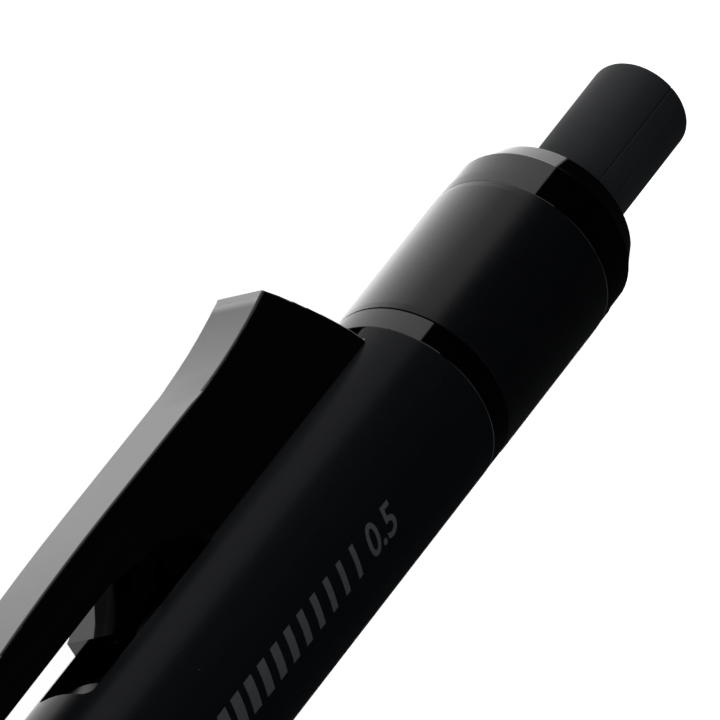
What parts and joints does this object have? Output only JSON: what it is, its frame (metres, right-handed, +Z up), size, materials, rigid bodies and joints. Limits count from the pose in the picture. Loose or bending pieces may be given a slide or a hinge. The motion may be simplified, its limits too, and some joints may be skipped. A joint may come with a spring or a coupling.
{
  "type": "mechanical pencil",
  "caption": "Black shaker mechanical pencil with a sliding side clip and a wind-out eraser, lying on its side on the clip's crest.",
  "frame": {"origin": "on the surface the pencil lies on, below the middle of its box", "axes": "+X along the pencil towards the eraser, +Z up, the clip to +Y and slightly down"},
  "size_m": [0.1596, 0.0192, 0.0123],
  "materials": {
    "satin_black": "fine satin moulding, soft sheen",
    "matte_black_sleeve": "matte soft-feel coat with very fine turning lines",
    "gloss_black": "polished black plastic",
    "clip_black": "satin moulding",
    "grip_black": "matte grip with shallow rings",
    "eraser_black": "matte black vinyl with moulding seams",
    "inner_plastic": "natural moulded plastic",
    "inner_black": "moulded plastic",
    "rubber_black": "moulded rubber",
    "steel": "drawn steel",
    "brass": "turned brass",
    "graphite": "polymer graphite lead"
  },
  "bodies": {
    "barrel_body": {"barrel": "satin_black", "front_barrel": "grip_black", "front_cone": "satin_black", "lead_pipe": "steel", "lead_retainer": "rubber_black", "inner_sleeve": "inner_black", "weight_rear_stop": "inner_plastic", "weight_buffer": "rubber_black", "tail_ring": "gloss_black", "plug_housing": "inner_black", "eraser_guide_tube": "inner_plastic", "plug_o_ring": "rubber_black", "chuck_spring": "steel"},
    "advance_unit": {"chuck": "brass", "chuck_coupler": "inner_plastic", "lead_tube": "inner_plastic", "weight_stop": "inner_black", "tube_collar": "inner_black", "spare_leads": "graphite"},
    "chuck_ring": {"chuck_ring": "brass"},
    "lead": {"lead": "graphite"},
    "shaker_weight": {"shaker_weight": "steel"},
    "lock_carriage": {"lock_carriage": "inner_black", "clip_spring": "steel"},
    "clip_unit": {"clip": "clip_black", "clip_yoke": "gloss_black", "knock_slider": "inner_black"},
    "eraser_turner": {"turning_sleeve": "matte_black_sleeve", "tail_cap": "gloss_black", "spiral_tube": "inner_black"},
    "eraser_carrier": {"eraser": "eraser_black", "eraser_cup": "inner_plastic"}
  },
  "joints": [
    {"name": "clip_lock_slide", "type": "slide", "parent": "barrel_body", "child": "lock_carriage", "axis": [1, 0, 0], "range_m": [-0.0022, 0]},
    {"name": "clip_knock_slide", "type": "slide", "parent": "lock_carriage", "child": "clip_unit", "axis": [1, 0, 0], "range_m": [-0.0018, 0], "stiffness_N_per_m": 300, "springref_m": 0.003, "deforming": ["clip_spring"]},
    {"name": "advance_slide", "type": "slide", "parent": "barrel_body", "child": "advance_unit", "axis": [1, 0, 0], "range_m": [-0.0018, 0], "deforming": ["chuck_spring"]},
    {"name": "chuck_ring_slide", "type": "slide", "parent": "barrel_body", "child": "chuck_ring", "axis": [1, 0, 0], "range_m": [-0.0005, 0]},
    {"name": "lead_feed", "type": "slide", "parent": "barrel_body", "child": "lead", "axis": [1, 0, 0], "range_m": [-0.0005, 0]},
    {"name": "shaker_weight_slide", "type": "slide", "parent": "barrel_body", "child": "shaker_weight", "axis": [1, 0, 0], "range_m": [0, 0.011]},
    {"name": "eraser_turn", "type": "hinge", "parent": "barrel_body", "child": "eraser_turner", "pos_m": [0.05087, -0.00345, 0.00615], "axis": [1, 0, 0], "range_deg": [-166.5, 102]},
    {"name": "eraser_feed", "type": "slide", "parent": "barrel_body", "child": "eraser_carrier", "axis": [1, 0, 0], "range_m": [-0.0111, 0.0068]}
  ],
  "couplings": [
    {"joint": "advance_slide", "follows": "clip_knock_slide", "ratio": 1},
    {"joint": "chuck_ring_slide", "follows": "clip_knock_slide", "ratio": 0.27778},
    {"joint": "lead_feed", "follows": "clip_knock_slide", "ratio": 0.27778},
    {"joint": "eraser_feed", "follows": "eraser_turn", "m_per_rad": 0.0038197}
  ]
}
